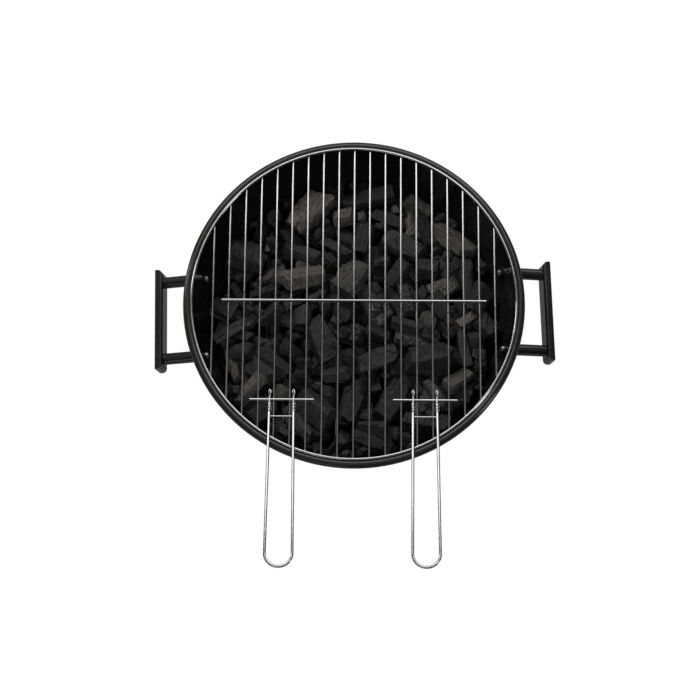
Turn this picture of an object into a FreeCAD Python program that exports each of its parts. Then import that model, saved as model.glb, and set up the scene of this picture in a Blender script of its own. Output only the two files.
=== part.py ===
import FreeCAD, Part

import math
import os

# Portable charcoal grill that stands on a table. All sizes are in millimetres.
# Every part is drawn about the bowl's axis, with z = 0 on the table. save() then moves it back
# along +Y, so that the frame's origin is at the centre of the whole object's footprint.
# +X is to the right of the person who cooks, and -Y is the front, where the wire handles are.

Vector = FreeCAD.Vector
X_AXIS = Vector(1, 0, 0)
Y_AXIS = Vector(0, 1, 0)
Z_AXIS = Vector(0, 0, 1)

# Overall
RIM_RADIUS = 180.0          # outside of the rolled rim
RIM_Z = 190.0               # centre of the rolled rim above the table
HANDLE_REACH = 288.4        # from the bowl's axis to the tips of the wire handles
FRAME_Y = (HANDLE_REACH - RIM_RADIUS) / 2
WELD_SINK = 0.15            # how deep welded wires sink into each other
BODY_GAP = 0.3              # between parts that move apart
CUT_PAST = 5.0              # how far a cutter reaches past what it cuts

# Bowl
SHEET = 1.2
BEAD_RADIUS = 4.5
BEAD_CENTRE_R = RIM_RADIUS - BEAD_RADIUS
WALL_TOP_R = BEAD_CENTRE_R - BEAD_RADIUS
WALL_CURVE_R = 200.0        # upper wall, seen from the side
WALL_CURVE_DEPTH = 75.0
BOTTOM_CURVE_R = 85.0       # rounding from the wall into the flat bottom
CURL_END_DEG = -150.0       # where the rolled rim's sheet ends, from the outward direction

# Air holes and damper
AIR_HOLE_COUNT = 3
AIR_HOLE_R = 11.0
AIR_HOLE_CIRCLE_R = 34.0
DAMPER_R = 50.0
DAMPER_TAB_REACH = 92.0
DAMPER_TAB_WIDTH = 16.0
DAMPER_TAB_DEG = 240.0
FINGER_ROLL_R = 2.4
RIVET_R = 3.0
RIVET_HEAD_R = 6.5
RIVET_HEAD_HEIGHT = 3.0
RIVET_DOME_R = 8.125
RIVET_FOOT_R = 5.2
RIVET_FOOT_HEIGHT = 2.0
RIVET_RUNNING_GAP = 0.05
DAMPER_WASHER_R = 8.45
DAMPER_WASHER_THICKNESS = 1.2

# Legs
LEG_DIRECTIONS = {"back": 90.0, "front_left": 210.0, "front_right": 330.0}
LEG_SLOPE_DEG = 15.0        # from the vertical, foot outwards
LEG_TUBE_R = 8.0
LEG_TUBE_WALL = 1.2
LEG_PLUG_LENGTH = 16.0
LEG_BOLT_R = 3.0
LEG_BOLT_HEAD_R = 6.5
LEG_BOLT_HEAD_HEIGHT = 3.2
LEG_BOLT_HEAD_EDGE_R = 2.56
LEG_BOLT_HEAD_LIFT = 0.4    # the flat head stands on the round floor by its edge
LEG_BOLT_SHORT = 2.0        # from the bolt's end to the plug's end
SADDLE_R = 11.0
SADDLE_THICKNESS = 3.0
SADDLE_DEPTH = 6.0          # stock that the curved face is cut from
FOOT_HEIGHT = 20.0
FOOT_TOP_R = 9.8
FOOT_BOTTOM_R = 11.5
FOOT_SOLE = 4.0
TABLE_CUTTER = 600.0

# Side handles
SIDE_TURN_DEG = 1.7         # the line of the side handles, about the bowl's axis
SIDE_SLOPE_DEG = 13.0       # the handles slope down outwards, square to the wall
SIDE_MOUNT_DEPTH = 45.0     # below the rim's centre
POST_SPACING = 86.0
POST_R = 6.2
GRIP_LENGTH = 111.0
GRIP_THICKNESS = 9.0
GRIP_HEIGHT = 20.0
GRIP_EDGE_R = 2.8
GRIP_INNER_CORNER_R = 6.0
GRIP_OUTER_CORNER_R = 1.2
GRIP_CENTRE_X = 208.1
SCREW_R = 2.0
SCREW_HEAD_R = 4.0
SCREW_HEAD_HEIGHT = 3.1
SCREW_HEAD_EDGE_R = 2.2
RECESS_SPAN = 4.4           # the cross recess, from tip to tip
RECESS_WIDTH = 1.0
RECESS_DEPTH = 1.9
INSERT_R = 3.0              # the threaded insert that is moulded into the grip
INSERT_LENGTH = 6.5
HOLE_GAP = 0.3
WASHER_R = 5.0
WASHER_THICKNESS = 2.2

# Charcoal grate
GRATE_Z = RIM_Z - 94.0
GRATE_RING_WIRE_R = 2.5
GRATE_BAR_R = 2.0
GRATE_BAR_PITCH = 19.0
GRATE_BARS_EACH_SIDE = 7
GRATE_CROSS_BAR_Y = 62.0

# Charcoal
CHARCOAL_CROWN_DEPTH = 44.0
CHARCOAL_EDGE_DEPTH = 64.0
CHARCOAL_WALL_GAP = 2.0
CHARCOAL_EDGE_R = 153.0     # inside the heads of the side handles' screws

# Cooking grid
GRID_RING_R = 171.0
GRID_RING_WIRE_R = 1.5
GRID_BAR_R = 1.1
GRID_BAR_PITCH = 16.5
GRID_BARS_EACH_SIDE = 9
GRID_BAR_END_R = 169.6
CROSS_BAR_R = 1.4
LONG_CROSS_BAR_HALF = 139.0
SHORT_BAR_HALF = 33.2
SHORT_BAR_Y = -108.0

# Wire handles
WIRE_HANDLE_X = 4.5 * GRID_BAR_PITCH
WIRE_R = 1.5
WIRE_END_R = 13.9           # round end of a wire handle
WIRE_SPREAD_DEG = 0.5       # each leg leans this much away from the handle's centre line
LEG_END_GAP = 3.0           # from the short bar's axis to the end of a leg
TIE_R = 1.0
TIE_HALF = 13.4
TIE_DISTANCE = 18.0         # in front of the short bar
HINGE_LOOP_WIRE_R = 0.7
HINGE_LOOP_FRONT = 14.0     # how far a hinge loop reaches in front of the short bar
HINGE_LOOP_BACK = 12.0      # and behind it
HINGE_LOOP_END_R = 2.45
HINGE_LOOP_SPREAD_DEG = 0.97

# Heights that follow from the sizes above
CURVE_CENTRE_R = WALL_TOP_R - WALL_CURVE_R
CURVE_ANGLE = math.asin(WALL_CURVE_DEPTH / WALL_CURVE_R)
BOTTOM_CENTRE_R = CURVE_CENTRE_R + (WALL_CURVE_R - BOTTOM_CURVE_R) * math.cos(CURVE_ANGLE)
BOTTOM_CENTRE_Z = RIM_Z - (WALL_CURVE_R - BOTTOM_CURVE_R) * math.sin(CURVE_ANGLE)
BOWL_FLOOR_Z = BOTTOM_CENTRE_Z - BOTTOM_CURVE_R
BOWL_UNDERSIDE_Z = BOWL_FLOOR_Z - SHEET
RING_TOUCH = BEAD_RADIUS + GRID_RING_WIRE_R + BODY_GAP
GRID_RING_Z = RIM_Z + math.sqrt(RING_TOUCH ** 2 - (BEAD_CENTRE_R - GRID_RING_R) ** 2)
GRID_BAR_Z = GRID_RING_Z - GRID_RING_WIRE_R - GRID_BAR_R + WELD_SINK
CROSS_BAR_Z = GRID_BAR_Z + GRID_BAR_R + CROSS_BAR_R - WELD_SINK
TIE_Z = GRID_BAR_Z + GRID_BAR_R + BODY_GAP + TIE_R
LEG_OVER_TIE_Z = TIE_Z + TIE_R + WIRE_R - WELD_SINK
WIRE_SLOPE = math.atan((LEG_OVER_TIE_Z - CROSS_BAR_Z) / TIE_DISTANCE)


def save(name, shape):
    """Write one part, moved from the bowl's axis into the frame."""
    placed = shape.copy()
    placed.translate(Vector(0, FRAME_Y, 0))
    placed.exportStep(os.path.join("parts", name + ".step"))


def rod(start, end, radius):
    """A round bar between two points."""
    along = end - start
    return Part.makeCylinder(radius, along.Length, start, along)


def turned(shape, degrees):
    """A copy turned about the bowl's axis."""
    copy = shape.copy()
    copy.rotate(Vector(0, 0, 0), Z_AXIS, degrees)
    return copy


def mirrored_left(shape):
    """The left-hand copy of a right-hand part."""
    return shape.mirror(Vector(0, 0, 0), X_AXIS)


def spun(outline):
    """The solid that an outline in the XZ plane makes when it turns about the bowl's axis."""
    return Part.Face(Part.Wire(outline)).revolve(Vector(0, 0, 0), Z_AXIS, 360)


def section_point(centre_r, centre_z, radius, degrees):
    """A point of the XZ plane, on a circle."""
    angle = math.radians(degrees)
    return Vector(centre_r + radius * math.cos(angle), 0, centre_z + radius * math.sin(angle))


def section_arc(centre_r, centre_z, radius, start_deg, end_deg):
    """An arc in the XZ plane."""
    points = [section_point(centre_r, centre_z, radius, deg)
              for deg in (start_deg, (start_deg + end_deg) / 2, end_deg)]
    return Part.Arc(*points).toShape()


def line(start, end):
    """A straight edge between two points."""
    return Part.LineSegment(start, end).toShape()


def inner_wall_radius(z):
    """The radius of the bowl's inner face at a height in its rounded lower part."""
    return BOTTOM_CENTRE_R + math.sqrt(BOTTOM_CURVE_R ** 2 - (BOTTOM_CENTRE_Z - z) ** 2)


def bowl_face(offset):
    """The edges of the bowl's face from the rim to the middle of the floor, pushed out by offset."""
    wall_deg = -math.degrees(CURVE_ANGLE)
    wall = section_arc(CURVE_CENTRE_R, RIM_Z, WALL_CURVE_R + offset, 0, wall_deg)
    rounding = section_arc(BOTTOM_CENTRE_R, BOTTOM_CENTRE_Z, BOTTOM_CURVE_R + offset, wall_deg, -90)
    floor_z = BOWL_FLOOR_Z - offset
    floor = line(Vector(BOTTOM_CENTRE_R, 0, floor_z), Vector(0, 0, floor_z))
    return [wall, rounding, floor]


def bowl_filled(offset):
    """The bowl as one full solid up to the rim's centre, its face pushed out by offset."""
    closing = [line(Vector(0, 0, BOWL_FLOOR_Z - offset), Vector(0, 0, RIM_Z)),
               line(Vector(0, 0, RIM_Z), Vector(WALL_TOP_R + offset, 0, RIM_Z))]
    return spun(bowl_face(offset) + closing)


def leg_axis_point(distance):
    """A point on the leg's axis in the XZ plane, measured out from the bowl's outer face."""
    return section_point(BOTTOM_CENTRE_R, BOTTOM_CENTRE_Z,
                         BOTTOM_CURVE_R + SHEET + distance, LEG_SLOPE_DEG - 90)


def side_axis_point(distance, y):
    """A point on a stand-off's axis, measured out from the wall's outer face at the middle."""
    slope = math.radians(SIDE_SLOPE_DEG)
    start = Vector(CURVE_CENTRE_R + (WALL_CURVE_R + SHEET) * math.cos(slope), y,
                   RIM_Z - SIDE_MOUNT_DEPTH)
    return start + side_direction() * distance


def side_direction():
    """The way the side handles point, out from the wall and a little down."""
    slope = math.radians(SIDE_SLOPE_DEG)
    return Vector(math.cos(slope), 0, -math.sin(slope))


def both_posts(make):
    """The two copies of a part that each stand-off of the right-hand handle has."""
    return [make(side * POST_SPACING / 2) for side in (-1, 1)]


def on_both_sides(solids):
    """Right-hand and left-hand copies, turned with the line of the side handles."""
    half_turn = [turned(solid, 180) for solid in solids]
    return Part.makeCompound([turned(solid, SIDE_TURN_DEG) for solid in solids + half_turn])


# ---------------------------------------------------------------- bowl and air damper

def make_bowl():
    """Sheet steel: the curved wall, the flat bottom and the rolled rim, with its holes."""
    inner = bowl_face(0)
    outer = bowl_face(SHEET)
    curl_outer = section_arc(BEAD_CENTRE_R, RIM_Z, BEAD_RADIUS, 180, CURL_END_DEG)
    curl_inner = section_arc(BEAD_CENTRE_R, RIM_Z, BEAD_RADIUS - SHEET, 180, CURL_END_DEG)
    curl_end = line(section_point(BEAD_CENTRE_R, RIM_Z, BEAD_RADIUS, CURL_END_DEG),
                    section_point(BEAD_CENTRE_R, RIM_Z, BEAD_RADIUS - SHEET, CURL_END_DEG))
    middle = line(Vector(0, 0, BOWL_FLOOR_Z), Vector(0, 0, BOWL_UNDERSIDE_Z))
    shell = spun(Part.sortEdges(inner + outer + [curl_outer, curl_inner, curl_end, middle])[0])

    holes = [rod(Vector(0, 0, BOWL_UNDERSIDE_Z - CUT_PAST), Vector(0, 0, BOWL_FLOOR_Z + CUT_PAST),
                 RIVET_R + RIVET_RUNNING_GAP)]
    holes += air_holes()
    leg_hole = rod(leg_axis_point(-SHEET - CUT_PAST), leg_axis_point(CUT_PAST),
                   LEG_BOLT_R + HOLE_GAP)
    holes += [turned(leg_hole, direction) for direction in LEG_DIRECTIONS.values()]
    screw_holes = both_posts(lambda y: rod(side_axis_point(INNER_FACE - CUT_PAST, y),
                                           side_axis_point(CUT_PAST, y), SCREW_R + HOLE_GAP))
    holes += on_both_sides(screw_holes).Solids
    return shell.cut(Part.makeCompound(holes))


def air_holes():
    """Cutters for the air holes, which the bowl's bottom and the damper share."""
    hole = rod(Vector(AIR_HOLE_CIRCLE_R, 0, BOWL_UNDERSIDE_Z - CUT_PAST),
               Vector(AIR_HOLE_CIRCLE_R, 0, BOWL_FLOOR_Z + CUT_PAST), AIR_HOLE_R)
    return [turned(hole, 360 / AIR_HOLE_COUNT * index) for index in range(AIR_HOLE_COUNT)]


def make_damper():
    """A turning disc under the bowl, with a tab that reaches out past the flat bottom."""
    top_z = BOWL_UNDERSIDE_Z - BODY_GAP
    disc = Part.makeCylinder(DAMPER_R, SHEET, Vector(0, 0, top_z - SHEET))
    tab = Part.makeBox(DAMPER_TAB_REACH, DAMPER_TAB_WIDTH, SHEET,
                       Vector(0, -DAMPER_TAB_WIDTH / 2, top_z - SHEET))
    roll_z = top_z - FINGER_ROLL_R
    finger_roll = rod(Vector(DAMPER_TAB_REACH, -DAMPER_TAB_WIDTH / 2, roll_z),
                      Vector(DAMPER_TAB_REACH, DAMPER_TAB_WIDTH / 2, roll_z), FINGER_ROLL_R)
    body = disc.fuse([turned(tab, DAMPER_TAB_DEG), turned(finger_roll, DAMPER_TAB_DEG)])
    pivot_hole = rod(Vector(0, 0, top_z - CUT_PAST), Vector(0, 0, top_z + CUT_PAST),
                     RIVET_R + RIVET_RUNNING_GAP)
    return body.cut([pivot_hole] + air_holes()).removeSplitter()


def make_damper_rivet():
    """The pivot: a domed head inside the bowl, a shank, and a flat head under the washer."""
    top_z = BOWL_FLOOR_Z + RIVET_HEAD_HEIGHT
    bottom_z = damper_washer_z() - RIVET_FOOT_HEIGHT
    dome = Part.makeSphere(RIVET_DOME_R, Vector(0, 0, top_z - RIVET_DOME_R))
    dome = dome.common(Part.makeCylinder(RIVET_HEAD_R, RIVET_HEAD_HEIGHT,
                                         Vector(0, 0, BOWL_FLOOR_Z)))
    shank = rod(Vector(0, 0, bottom_z), Vector(0, 0, top_z - RIVET_HEAD_HEIGHT / 2), RIVET_R)
    foot = Part.makeCylinder(RIVET_FOOT_R, RIVET_FOOT_HEIGHT, Vector(0, 0, bottom_z))
    return dome.fuse([shank, foot]).removeSplitter()


def damper_washer_z():
    """The underside of the washer below the damper."""
    return BOWL_UNDERSIDE_Z - BODY_GAP - SHEET - BODY_GAP - DAMPER_WASHER_THICKNESS


def make_damper_washer():
    """The washer between the damper and the rivet's foot."""
    bottom = Vector(0, 0, damper_washer_z())
    washer = Part.makeCylinder(DAMPER_WASHER_R, DAMPER_WASHER_THICKNESS, bottom)
    return washer.cut(Part.makeCylinder(RIVET_R, DAMPER_WASHER_THICKNESS, bottom))


# ---------------------------------------------------------------- legs

LEG_TOP = SADDLE_THICKNESS
FOOT_TIP = leg_axis_point(0).z / math.cos(math.radians(LEG_SLOPE_DEG))
LEG_BOTTOM = FOOT_TIP - FOOT_SOLE - LEG_TUBE_R * math.tan(math.radians(LEG_SLOPE_DEG))


def make_leg_tube():
    """A steel tube from under the saddle washer down into the foot."""
    tube = rod(leg_axis_point(LEG_TOP), leg_axis_point(LEG_BOTTOM), LEG_TUBE_R)
    return tube.cut(rod(leg_axis_point(LEG_TOP), leg_axis_point(LEG_BOTTOM),
                        LEG_TUBE_R - LEG_TUBE_WALL))


def make_leg_plug():
    """The threaded plug that is welded into the top of a leg tube."""
    top = leg_axis_point(LEG_TOP)
    bottom = leg_axis_point(LEG_TOP + LEG_PLUG_LENGTH)
    return rod(top, bottom, LEG_TUBE_R - LEG_TUBE_WALL).cut(rod(top, bottom, LEG_BOLT_R))


def make_leg_saddle():
    """A shaped washer between the bowl's round underside and the flat top of a leg."""
    top = leg_axis_point(-SADDLE_DEPTH)
    bottom = leg_axis_point(LEG_TOP)
    saddle = rod(top, bottom, SADDLE_R).cut(rod(top, bottom, LEG_BOLT_R + HOLE_GAP))
    return saddle.cut(bowl_filled(SHEET))


def make_leg_bolt():
    """A domed bolt from inside the bowl into the leg's plug."""
    base = leg_axis_point(-SHEET - LEG_BOLT_HEAD_LIFT)
    top = leg_axis_point(-SHEET - LEG_BOLT_HEAD_LIFT - LEG_BOLT_HEAD_HEIGHT)
    head = rod(base, top, LEG_BOLT_HEAD_R)
    top_edge = [edge for edge in head.Edges
                if edge.Closed and edge.CenterOfMass.distanceToPoint(top) < LEG_BOLT_HEAD_HEIGHT / 2]
    head = head.makeFillet(LEG_BOLT_HEAD_EDGE_R, top_edge)
    shank = rod(base, leg_axis_point(LEG_TOP + LEG_PLUG_LENGTH - LEG_BOLT_SHORT), LEG_BOLT_R)
    return head.fuse(shank).removeSplitter()


def make_foot():
    """A plastic cap on the end of a leg, cut level where it stands on the table."""
    cone_top = leg_axis_point(FOOT_TIP - FOOT_HEIGHT)
    axis = leg_axis_point(FOOT_TIP + FOOT_HEIGHT / 2) - cone_top
    cone = Part.makeCone(FOOT_TOP_R, FOOT_BOTTOM_R, axis.Length, cone_top, axis)
    half = TABLE_CUTTER / 2
    below_table = Part.makeBox(TABLE_CUTTER, TABLE_CUTTER, half, Vector(-half, -half, -half))
    socket = rod(leg_axis_point(0), leg_axis_point(LEG_BOTTOM), LEG_TUBE_R)
    return cone.cut([below_table, socket])


# ---------------------------------------------------------------- side handles

GRIP_DISTANCE = (GRIP_CENTRE_X - side_axis_point(0, 0).x) / side_direction().x


def rounded_outline(half_width, half_height, radii):
    """A rectangle in the XY plane with its own radius at each corner, from lower left round."""
    corners = [(-1, -1), (1, -1), (1, 1), (-1, 1)]
    edges = []
    ends = []
    for (side_x, side_y), radius in zip(corners, radii):
        centre = Vector(side_x * (half_width - radius), side_y * (half_height - radius), 0)
        on_x = centre + Vector(side_x * radius, 0, 0)
        on_y = centre + Vector(0, side_y * radius, 0)
        bulge = centre + Vector(side_x, side_y, 0) * (radius / math.sqrt(2))
        first, last = (on_x, on_y) if side_x == side_y else (on_y, on_x)
        edges.append(Part.Arc(first, bulge, last).toShape())
        ends.append((first, last))
    for index in range(4):
        edges.append(line(ends[index][1], ends[(index + 1) % 4][0]))
    return Part.Face(Part.Wire(Part.sortEdges(edges)[0]))


def make_grip():
    """A moulded bar: rounded along its length, with full inner corners at its two ends."""
    half = GRIP_THICKNESS / 2
    from_above = rounded_outline(half, GRIP_LENGTH / 2,
                                 [GRIP_INNER_CORNER_R, GRIP_OUTER_CORNER_R,
                                  GRIP_OUTER_CORNER_R, GRIP_INNER_CORNER_R])
    plan = from_above.extrude(Vector(0, 0, GRIP_HEIGHT + 2 * CUT_PAST))
    plan.translate(Vector(0, 0, -GRIP_HEIGHT / 2 - CUT_PAST))
    section = rounded_outline(half, GRIP_HEIGHT / 2, [GRIP_EDGE_R] * 4)
    section.rotate(Vector(0, 0, 0), X_AXIS, 90)
    length = section.extrude(Vector(0, GRIP_LENGTH + 2 * CUT_PAST, 0))
    length.translate(Vector(0, -GRIP_LENGTH / 2 - CUT_PAST, 0))
    grip = plan.common(length)
    grip.rotate(Vector(0, 0, 0), Y_AXIS, SIDE_SLOPE_DEG)
    grip.translate(side_axis_point(GRIP_DISTANCE, 0))
    return grip.cut(both_posts(lambda y: rod(*insert_ends(y), INSERT_R)))


def insert_ends(y):
    """The two ends of a threaded insert's axis: at the grip's face and inside the grip."""
    face = GRIP_DISTANCE - GRIP_THICKNESS / 2
    return side_axis_point(face, y), side_axis_point(face + INSERT_LENGTH, y)


def make_post(y):
    """A round stand-off between the wall and the grip, with the screw's bore through it."""
    inner_end = side_axis_point(INNER_FACE - CUT_PAST, y)
    outer_end = insert_ends(y)[0]
    return rod(inner_end, outer_end, POST_R).cut([rod(inner_end, outer_end, SCREW_R),
                                                  bowl_filled(SHEET)])


def wall_distance(y):
    """How far back from the middle of the wall's face a stand-off's axis meets the inner face."""
    axis = line(side_axis_point(-POST_SPACING, y), side_axis_point(CUT_PAST, y))
    inside_part = bowl_filled(0).common(axis)
    return side_axis_point(0, y).distanceToPoint(
        max((vertex.Point for vertex in inside_part.Vertexes), key=lambda point: point.x))


INNER_FACE = -wall_distance(POST_SPACING / 2)
WASHER_BACK = INNER_FACE - WASHER_THICKNESS


def make_side_washer(y):
    """A shaped washer inside the wall: flat for the screw's head, curved to the wall."""
    back = side_axis_point(WASHER_BACK, y)
    past_wall = side_axis_point(INNER_FACE + CUT_PAST, y)
    washer = rod(back, past_wall, WASHER_R).common(bowl_filled(0))
    return washer.cut(rod(back, past_wall, SCREW_R + HOLE_GAP))


def make_side_screw(y):
    """A pan-head screw with a cross recess, from inside the bowl into the grip's insert."""
    head = Part.makeCylinder(SCREW_HEAD_R, SCREW_HEAD_HEIGHT)
    top_edge = [edge for edge in head.Edges
                if edge.Closed and edge.CenterOfMass.z > SCREW_HEAD_HEIGHT / 2]
    head = head.makeFillet(SCREW_HEAD_EDGE_R, top_edge)
    arms = [Part.makeBox(span_x, span_y, RECESS_DEPTH,
                         Vector(-span_x / 2, -span_y / 2, SCREW_HEAD_HEIGHT - RECESS_DEPTH))
            for span_x, span_y in ((RECESS_SPAN, RECESS_WIDTH), (RECESS_WIDTH, RECESS_SPAN))]
    head = head.cut(arms)
    head.rotate(Vector(0, 0, 0), Y_AXIS, SIDE_SLOPE_DEG - 90)
    head.translate(side_axis_point(WASHER_BACK, y))
    shank = rod(side_axis_point(WASHER_BACK, y), insert_ends(y)[1], SCREW_R)
    return head.fuse(shank).removeSplitter()


def make_insert(y):
    """The threaded metal insert in the grip."""
    start, end = insert_ends(y)
    return rod(start, end, INSERT_R).cut(rod(start, end, SCREW_R))


# ---------------------------------------------------------------- charcoal grate and charcoal

def bars_front_to_back(each_side, pitch, end_radius, radius, z):
    """Parallel bars that end on a circle."""
    bars = []
    for step in range(-each_side, each_side + 1):
        x = step * pitch
        half = math.sqrt(end_radius ** 2 - x ** 2)
        bars.append(rod(Vector(x, -half, z), Vector(x, half, z), radius))
    return Part.makeCompound(bars)


GRATE_RING_R = (BOTTOM_CENTRE_R
                + math.sqrt((BOTTOM_CURVE_R - GRATE_RING_WIRE_R - BODY_GAP) ** 2
                            - (BOTTOM_CENTRE_Z - GRATE_Z) ** 2))
GRATE_BAR_Z = GRATE_Z + GRATE_RING_WIRE_R + GRATE_BAR_R - WELD_SINK
GRATE_CROSS_Z = GRATE_BAR_Z - 2 * GRATE_BAR_R + WELD_SINK


def make_grate_ring():
    """The wire ring that the charcoal grate's bars are welded to."""
    return Part.makeTorus(GRATE_RING_R, GRATE_RING_WIRE_R, Vector(0, 0, GRATE_Z))


def make_grate_bars():
    """The charcoal grate's bars, on top of its ring."""
    return bars_front_to_back(GRATE_BARS_EACH_SIDE, GRATE_BAR_PITCH, GRATE_RING_R, GRATE_BAR_R,
                              GRATE_BAR_Z)


def make_grate_cross_bars():
    """Two bars under the grate, across the others, inside the ring."""
    reach = GRATE_RING_R - GRATE_RING_WIRE_R + WELD_SINK
    half = math.sqrt(reach ** 2 - GRATE_CROSS_BAR_Y ** 2)
    return Part.makeCompound([rod(Vector(-half, y, GRATE_CROSS_Z), Vector(half, y, GRATE_CROSS_Z),
                                  GRATE_BAR_R) for y in (-GRATE_CROSS_BAR_Y, GRATE_CROSS_BAR_Y)])


def make_charcoal_bed():
    """The heap of charcoal as one plain solid: flat below, crowned above, clear of the wall."""
    bottom_z = GRATE_BAR_Z + GRATE_BAR_R
    edge_z = RIM_Z - CHARCOAL_EDGE_DEPTH
    bottom_r = inner_wall_radius(bottom_z) - CHARCOAL_WALL_GAP
    crown = CHARCOAL_EDGE_DEPTH - CHARCOAL_CROWN_DEPTH
    crown_r = (CHARCOAL_EDGE_R ** 2 + crown ** 2) / (2 * crown)
    dome = Part.makeSphere(crown_r, Vector(0, 0, edge_z + crown - crown_r))
    heap = Part.makeCylinder(CHARCOAL_EDGE_R, 2 * crown, Vector(0, 0, edge_z)).common(dome)
    base = Part.makeCone(bottom_r, CHARCOAL_EDGE_R, edge_z - bottom_z, Vector(0, 0, bottom_z))
    return heap.fuse(base).removeSplitter()


# ---------------------------------------------------------------- cooking grid and wire handles

def make_grid_ring():
    """The cooking grid's wire ring, which rests on the rolled rim."""
    return Part.makeTorus(GRID_RING_R, GRID_RING_WIRE_R, Vector(0, 0, GRID_RING_Z))


def make_grid_bars():
    """The cooking grid's bars, under its ring."""
    return bars_front_to_back(GRID_BARS_EACH_SIDE, GRID_BAR_PITCH, GRID_BAR_END_R, GRID_BAR_R,
                              GRID_BAR_Z)


def make_cross_bar(centre_x, y, half):
    """A bar that lies across the grid's bars, on top of them."""
    return rod(Vector(centre_x - half, y, CROSS_BAR_Z), Vector(centre_x + half, y, CROSS_BAR_Z),
               CROSS_BAR_R)


def on_handle_plane(x, distance):
    """A point of the wire handle: distance is measured forwards from the short bar's axis."""
    return Vector(x, SHORT_BAR_Y - distance * math.cos(WIRE_SLOPE),
                  CROSS_BAR_Z + distance * math.sin(WIRE_SLOPE))


def hairpin(place, start, tip, end_radius, spread_deg, wire_radius):
    """A wire with two straight legs and a round end that joins them smoothly.

    place turns a distance across the hairpin and a distance along it into a point.
    """
    spread = math.radians(spread_deg)
    centre = tip - end_radius
    touch = (end_radius * math.cos(spread), centre - end_radius * math.sin(spread))
    start_half = touch[0] - (touch[1] - start) * math.tan(spread)
    first, second = [(place(side * start_half, start), place(side * touch[0], touch[1]))
                     for side in (-1, 1)]
    end = Part.Arc(first[1], place(0, tip), second[1]).toShape()
    path = Part.Wire([line(*first), end, line(second[1], second[0])])
    section = Part.Wire(Part.Circle(first[0], first[1] - first[0], wire_radius).toShape())
    return path.makePipeShell([section], True, False, 0)


def make_wire_handle():
    """The right-hand wire loop: two legs that part a little, and a round end."""
    reach = (HANDLE_REACH - WIRE_R + SHORT_BAR_Y) / math.cos(WIRE_SLOPE)
    return hairpin(lambda across, along: on_handle_plane(WIRE_HANDLE_X + across, along),
                   LEG_END_GAP, reach, WIRE_END_R, WIRE_SPREAD_DEG, WIRE_R)


def make_tie_bar():
    """The short wire under the two legs, which lands on the grid's bars."""
    y = SHORT_BAR_Y - TIE_DISTANCE
    return rod(Vector(WIRE_HANDLE_X - TIE_HALF, y, TIE_Z),
               Vector(WIRE_HANDLE_X + TIE_HALF, y, TIE_Z), TIE_R)


def make_hinge_loop(x):
    """A thin wire loop, in the upright plane of one leg, that goes round the short bar."""
    def place(up, back):
        """A point of the upright plane of the leg."""
        raised = Vector(0, math.sin(WIRE_SLOPE), math.cos(WIRE_SLOPE))
        return on_handle_plane(x, -back) + raised * up

    return hairpin(place, -HINGE_LOOP_FRONT, HINGE_LOOP_BACK, HINGE_LOOP_END_R,
                   HINGE_LOOP_SPREAD_DEG, HINGE_LOOP_WIRE_R)


def make_hinge_loops():
    """One hinge loop on the end of each leg of the right-hand handle."""
    leg_end_half = WIRE_END_R - (HANDLE_REACH + SHORT_BAR_Y) * math.tan(math.radians(WIRE_SPREAD_DEG))
    return Part.makeCompound([make_hinge_loop(WIRE_HANDLE_X + side * leg_end_half)
                              for side in (-1, 1)])


def main():
    """Write every part."""
    os.makedirs("parts", exist_ok=True)

    save("bowl", make_bowl())
    save("air_damper", make_damper())
    save("damper_rivet", make_damper_rivet())
    save("damper_washer", make_damper_washer())

    for name, direction in LEG_DIRECTIONS.items():
        save("leg_" + name, turned(make_leg_tube(), direction))
        save("foot_" + name, turned(make_foot(), direction))
    for name, make in (("leg_plugs", make_leg_plug), ("leg_saddles", make_leg_saddle),
                       ("leg_bolts", make_leg_bolt)):
        shape = make()
        save(name, Part.makeCompound([turned(shape, direction)
                                      for direction in LEG_DIRECTIONS.values()]))

    right_grip = turned(make_grip(), SIDE_TURN_DEG)
    save("right_grip", right_grip)
    save("left_grip", turned(right_grip, 180))
    right_posts = Part.makeCompound([turned(post, SIDE_TURN_DEG) for post in both_posts(make_post)])
    save("right_grip_posts", right_posts)
    save("left_grip_posts", turned(right_posts, 180))
    save("grip_screws", on_both_sides(both_posts(make_side_screw)))
    save("grip_washers", on_both_sides(both_posts(make_side_washer)))
    save("grip_inserts", on_both_sides(both_posts(make_insert)))

    save("grate_ring", make_grate_ring())
    save("grate_bars", make_grate_bars())
    save("grate_cross_bars", make_grate_cross_bars())
    save("charcoal_bed", make_charcoal_bed())

    save("grid_ring", make_grid_ring())
    save("grid_bars", make_grid_bars())
    save("grid_cross_bar", make_cross_bar(0, 0, LONG_CROSS_BAR_HALF))
    for side, place in (("right", lambda shape: shape), ("left", mirrored_left)):
        save(side + "_handle_bar", place(make_cross_bar(WIRE_HANDLE_X, SHORT_BAR_Y, SHORT_BAR_HALF)))
        save(side + "_wire_handle", place(make_wire_handle()))
        save(side + "_tie_bar", place(make_tie_bar()))
        save(side + "_hinge_loops", place(make_hinge_loops()))


main()
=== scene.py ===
import logging
import math
from dataclasses import dataclass, field
from enum import Enum

import bpy
import numpy as np
from mathutils import Euler, Matrix, Vector


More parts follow.
